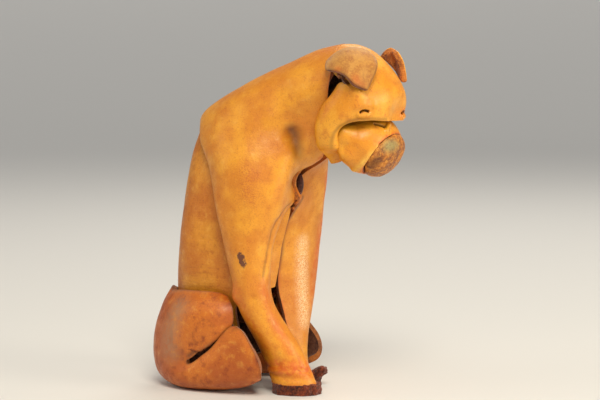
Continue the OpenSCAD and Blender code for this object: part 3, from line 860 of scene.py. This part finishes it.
# painted shade under the near ear's hood
rub_in(head, "dirt_and_shade", run((26.5, -14.5, 112), (29.5, -15, 112.4)), 2.6, 1.0)
muzzle_seam = [(42.3, 7.3, 94.7), (39.9, 10.9, 94.9), (36.1, 14.5, 95), (33.2, 16.1, 94.3),
               (29.9, 16.7, 92.7), (27.9, 17.1, 90.3), (26.5, 16.6, 86.3), (25.5, 14.4, 81.8)]
# painted shade along the seam with the muzzle
for sign in (-1, 1):
    rub_in(head, "dirt_and_shade", run(*[(x, sign * y, z) for x, y, z in muzzle_seam]), 1.3, 0.45)
hand_over(head, "head_skin", "head_leather", honey_head)

# %% [markdown]
# ## Muzzle and nose
# The muzzle is a cup drawn out of one round skin. Its rim is pushed outwards until it fills the cheeks, a
# slit and a ridge cross its bridge, and its lip is raised. The slit is darkened with painted shade, and the
# lip is paler with a painted highlight. The nose pad is a rough plug pressed into its mouth. The pad's grain
# is worn off, so it is mottled grey-green, orange and brown, which is a recipe of its own.

# %% Muzzle
muzzle = leather_from("muzzle_skin", "muzzle_leather_cup", levels=3, uneven=0.15)
for sign in (-1, 1):
    side_rim = run((26.5, sign * 12.8, 88), (26, sign * 12.4, 84), (27, sign * 11, 80.5))
    push(muzzle, side_rim, (-1.2, sign * 1.8, -0.4), 7)
    top_rim = run((29.8, sign * 13.8, 90.6), (34.6, sign * 13, 92.4), (39.4, sign * 9.6, 93))
    push(muzzle, top_rim, (0, sign * 1.3, 1.3), 5)
    push(muzzle, run((25.5, sign * 11.5, 80.5), (30.2, sign * 12.2, 82)), (-0.4, sign * 1.7, -0.8), 5)
push(muzzle, run((33.6, -9.6, 77.2)), (-0.6, -0.4, -1.0), 6)
slit = onto(muzzle, run((38.3, -7.2, 93.4), (39.4, -6.2, 93.0), (40.6, -4.8, 92.3)))
ridge = onto(muzzle, run((40.6, -1.2, 93.1), (41.2, -3.0, 92.2), (41.7, -4.8, 90.8)))
lip = onto(muzzle, run((30.5, -9.2, 77), (34.4, -10.4, 79.8), (37.2, -10.6, 82.4), (39.6, -9.6, 85.6)))
for reach in (2.2, 1.4):
    divide(muzzle, slit, reach)
# painted shade in the slit across the bridge
rub_in(muzzle, "dirt_and_shade", slit, 1.0, 1.0)
# painted highlight on the lip's rolled edge
rub_in(muzzle, "pale", lip, 2.0, 0.9)
press(muzzle, slit, 0.7, 1.6)
press(muzzle, ridge, 1.4, -0.9)
press(muzzle, lip, 1.8, -0.45)
cheek_crease = onto(muzzle, run((30.8, -13.2, 88), (30.0, -13.2, 85), (30.2, -12.0, 81.5)))
press(muzzle, cheek_crease, 1.9, 0.4)
rub_rim(muzzle, "burnish_and_shade", 1.2, 0.8)
hand_over(muzzle, "muzzle_skin", "muzzle_leather", honey_head)

# %% Nose pad


def nose_leather(name):
    """Worn pad: grey-green in the middle, orange and brown around it, wrinkled on top."""
    mix = Mix(name)
    patches = mix.cloud(3.0, 4.0, 0.6)
    fibres = mix.cloud(0.9, 5.0, 0.7)
    ground = mix.blend(mix.between(patches, 0.38, 0.60), tone(140, 78, 32), tone(200, 122, 42))
    ground = mix.blend(mix.between(fibres, 0.50, 0.64, 0, 0.8), ground, tone(216, 152, 64))
    ground = mix.blend(mix.between(fibres, 0.46, 0.36, 0, 0.7), ground, tone(88, 44, 22))
    greyed = mix.sum(mix.marks("greyed"), mix.between(fibres, 0.30, 0.52, 0.4, 1), "MULTIPLY")
    ground = mix.blend(greyed, ground, tone(152, 142, 90))
    ground = mix.blend(mix.marks("dirt_and_shade"), ground, UMBER)
    height = mix.sum(fibres, mix.cloud(2.2, 4.0, 0.65))
    rough = mix.between(patches, 0.3, 0.7, 0.42, 0.62)
    return mix.finish(ground, rough, height, 0.35, Specular_IOR_Level=0.45)


nose = copy_of("nose_pad", "nose_leather_pad")
finish_with(nose, "SUBSURF", levels=3, render_levels=3)
choose(nose, np.ones(len(nose.data.vertices), bool), "VERT")
bpy.ops.transform.translate(value=(-0.75 * mm, 0, 0.52 * mm))
done()
lumps = bpy.data.textures.new("nose_lumps", "CLOUDS")
lumps.noise_scale = 2.4 * mm
finish_with(nose, "DISPLACE", texture=lumps, texture_coords="LOCAL", strength=0.5 * mm)
nose_wrinkles = (
    run((43.6, -7.6, 87.2), (44.8, -4.4, 88.6), (45.4, -1, 88.6)), run((43.8, -7, 85.8), (45.4, -3.6, 87.2)))
for wrinkle in nose_wrinkles:
    press(nose, wrinkle, 0.9, 0.5, grain_only=False)
rub_in(nose, "greyed", run((43.4, -7, 86), (44.8, -4.2, 86.2)), 4.2, 0.9)
rub_in(nose, "dirt_and_shade", run((38.1, -9.4, 79), (41, -9.6, 81)), 3.0, 0.7)
hand_over(nose, "nose_pad", "nose_leather", nose_leather("nose_pad_leather"))

# %% [markdown]
# ## Ears
# The near ear is a hood that falls forward over a dark hollow, and the hood's underside over the hollow is
# darkened with painted shade. Its front corner is pushed in towards the head and its rim is raised. The far
# ear is a leaf that stands up.

# %% Ears
ear = leather_from("ear_right", "ear_leather_right", levels=3, corner=0.3, uneven=0.3)
hood_rim = onto(ear, run(
    (25.4, -13.5, 113.8), (28.4, -11, 116.4), (32, -9.4, 117.2), (36, -9.2, 116.8),
    (39, -11.4, 114.4), (40.6, -14.6, 110.8), (40.4, -17.6, 107)))
push(ear, run((41.2, -16.4, 107.6), (40.0, -18.8, 104.9)), (-1.3, 2.2, 0.2), 7)
press(ear, hood_rim, 1.6, -0.35)
rub_rim(ear, "dirt_and_shade", 1.0, 0.5)
# painted shade where the hood hangs over its hollow
rub_in(ear, "dirt_and_shade", run((27.5, -15.6, 109.5), (31, -17.2, 108.5), (34, -17.4, 106.5)), 3.2, 1.0)
rub_in(ear, "burnish_and_shade", run((38.2, -20.5, 107.9), (39.8, -18.8, 106)), 3.6, 0.7)
rub_in(ear, "burnish_and_shade", run((31.0, -20.6, 110.8), (30.4, -20.4, 109)), 2.6, 0.8)
hand_over(ear, "ear_right", "ear_leather", ear_suede)
leaf = leather_from("ear_left", "ear_leather_left", levels=3, corner=0, uneven=0.2)
hand_over(leaf, "ear_left", "ear_leather_left", honey_head, ear_hollow)

# %% [markdown]
# ## Paw pads
# Thick suede, cut roughly and frayed all round its edge. The block is voxel remeshed so that its points are
# even, its top is raised and softened, and its outline is drawn in a little. The left pad's front is raised
# into a rounded tab. Two passes of noise then pull the nap and the frayed edge out of it. The sole is left
# out of them, because the dog stands flat on it.

# %% Paw pads
TOP_FROM, SOLE_UP_TO = 2.2, 0.7
NAP_PASSES = ((2.2, 1.3), (0.8, 0.8))
for node, slot_name in (("paw_pad_right", "pad_suede"), ("paw_pad_left", "pad_suede_left")):
    pad = copy_of(node, node.replace("paw_pad", "paw_suede_pad"))
    finish_with(pad, "REMESH", mode="VOXEL", voxel_size=0.34 * mm)
    top = points(pad)[:, 2] > TOP_FROM * mm
    choose(pad, top, "VERT")
    bpy.ops.transform.translate(value=(0, 0, 0.8 * mm))
    bpy.ops.mesh.vertices_smooth(factor=0.5, repeat=6)
    done()
    choose(pad, np.ones(len(pad.data.vertices), bool), "VERT")
    bpy.ops.transform.resize(value=(0.94, 0.94, 1), center_override=tuple(points(pad).mean(axis=0)))
    done()
    if node == "paw_pad_left":
        press(pad, run((9.0, 7.5, 4.0), (11.6, 7.6, 5.2)), 4.0, -1.3, grain_only=False)
        relax(pad, run((9.0, 7.5, 4.6), (11.6, 7.6, 5.6)), 4.6, 70)
    for size, lift in NAP_PASSES:
        nap = bpy.data.textures.new(f"{node}_nap_{size}", "CLOUDS")
        nap.noise_scale = size * mm
        above_sole = (points(pad)[:, 2] > SOLE_UP_TO * mm).astype(float)
        shift(pad, above_sole, lift * mm, texture=nap, texture_coords="LOCAL")
    hand_over(pad, node, slot_name, pad_suede)

# %% [markdown]
# ## Floor, light and camera
# A round pale table whose edge curves up into a low wall. Its ring is extruded outwards and upwards in small
# steps and then filled, because a filled ring would carry its middle up with it and cover the dog.

# %% Floor
TABLE_RADIUS, WALL_STEPS = 1.4, 10
STEP_UP, STEP_OUT = 0.05, 0.09
bpy.ops.object.select_all(action="DESELECT")
bpy.ops.mesh.primitive_circle_add(
    vertices=96, radius=TABLE_RADIUS, fill_type="NOTHING", location=(0, 0, 0))
floor = bpy.context.object
floor.name = "table_top"
bpy.ops.object.mode_set(mode="EDIT")
bpy.ops.mesh.select_all(action="SELECT")
for step in range(WALL_STEPS):
    turn = math.radians(90 * (step + 0.5) / WALL_STEPS)
    bpy.ops.mesh.extrude_edges_move(TRANSFORM_OT_translate={"value": (0, 0, STEP_UP * math.sin(turn))})
    wider = 1 + STEP_OUT * math.cos(turn)
    bpy.ops.transform.resize(value=(wider, wider, 1))
bpy.ops.object.mode_set(mode="OBJECT")
choose(floor, points(floor)[:, 2] < 0.001, "VERT")
bpy.ops.mesh.edge_face_add()
done()
only(floor)
bpy.ops.object.shade_smooth()
card = bpy.data.materials.new("pale_card")
card.use_nodes = True
card.node_tree.nodes["Principled BSDF"].inputs["Base Color"].default_value = (0.72, 0.71, 0.69, 1)
card.node_tree.nodes["Principled BSDF"].inputs["Roughness"].default_value = 0.8
floor.data.materials.append(card)
width, _, wall = floor.dimensions
print("the table is", round(width, 2), "m wide with a wall", round(wall, 2), "m high")

# %% [markdown]
# ### Lamps and camera
# Four soft square lamps stand round the dog: a high warm key at its right front, a low one before its face, a
# weak wide one at its right rear, and a high one on its left that lights its far edge. A soft sun from the
# right front stands for a window. The camera stands at the dog's right front, just above its middle.

# %% Light
middle = Vector((6.54 * mm, 0, 65.9 * mm))


def toward(azimuth, elevation):
    """A direction from the dog, in degrees: azimuth 0 is its right side and 90 its front."""
    a, e = math.radians(azimuth), math.radians(elevation)
    return Vector((math.sin(a) * math.cos(e), -math.cos(a) * math.cos(e), math.sin(e)))


def lamp(name, azimuth, elevation, away, size, power, colour):
    """A soft square lamp that faces the dog."""
    place = middle + away * toward(azimuth, elevation)
    bpy.ops.object.light_add(type="AREA", location=place)
    made = bpy.context.object
    made.name = name
    made.rotation_euler = (middle - place).to_track_quat("-Z", "Y").to_euler()
    made.data.size = size
    made.data.energy = power
    made.data.color = colour


lamp("key", 34, 46, 0.8, 0.32, 3.9, (1.0, 0.90, 0.70))
lamp("side", 92, 12, 0.8, 0.30, 2.8, (1.0, 0.91, 0.74))
lamp("left", -55, 25, 0.9, 0.45, 1.1, (1.0, 0.90, 0.76))
lamp("back", 190, 50, 0.9, 0.5, 2.6, (1.0, 0.94, 0.84))
bpy.ops.object.light_add(type="SUN", rotation=(math.radians(38), 0, math.radians(30)))
bpy.context.object.name = "window"
bpy.context.object.data.energy = 0.8
bpy.context.object.data.angle = math.radians(40)
sky = bpy.data.worlds.new("studio")
sky.use_nodes = True
sky.node_tree.nodes["Background"].inputs["Color"].default_value = (0.90, 0.88, 0.84, 1)
sky.node_tree.nodes["Background"].inputs["Strength"].default_value = 0.30
bpy.context.scene.world = sky
bpy.context.scene.view_settings.view_transform = "Standard"

# %% Camera
CAMERA_AZIMUTH, CAMERA_ELEVATION, CAMERA_AWAY = 27, 5, 600
stand = middle + CAMERA_AWAY * mm * toward(CAMERA_AZIMUTH, CAMERA_ELEVATION)
bpy.ops.object.camera_add(location=stand, rotation=(middle - stand).to_track_quat("-Z", "Y").to_euler())
camera = bpy.context.object
camera.data.lens = 104
camera.data.clip_start = 0.01
bpy.context.scene.camera = camera
print("the camera stands", round((stand - middle).length * 1000), "mm from the dog")

# %% [markdown]
# ## Sizes
# The frame's box is printed at the end.

# %% Sizes and the end
print("frame", [[round(v * 1000, 1) for v in c] for c in cad_box])
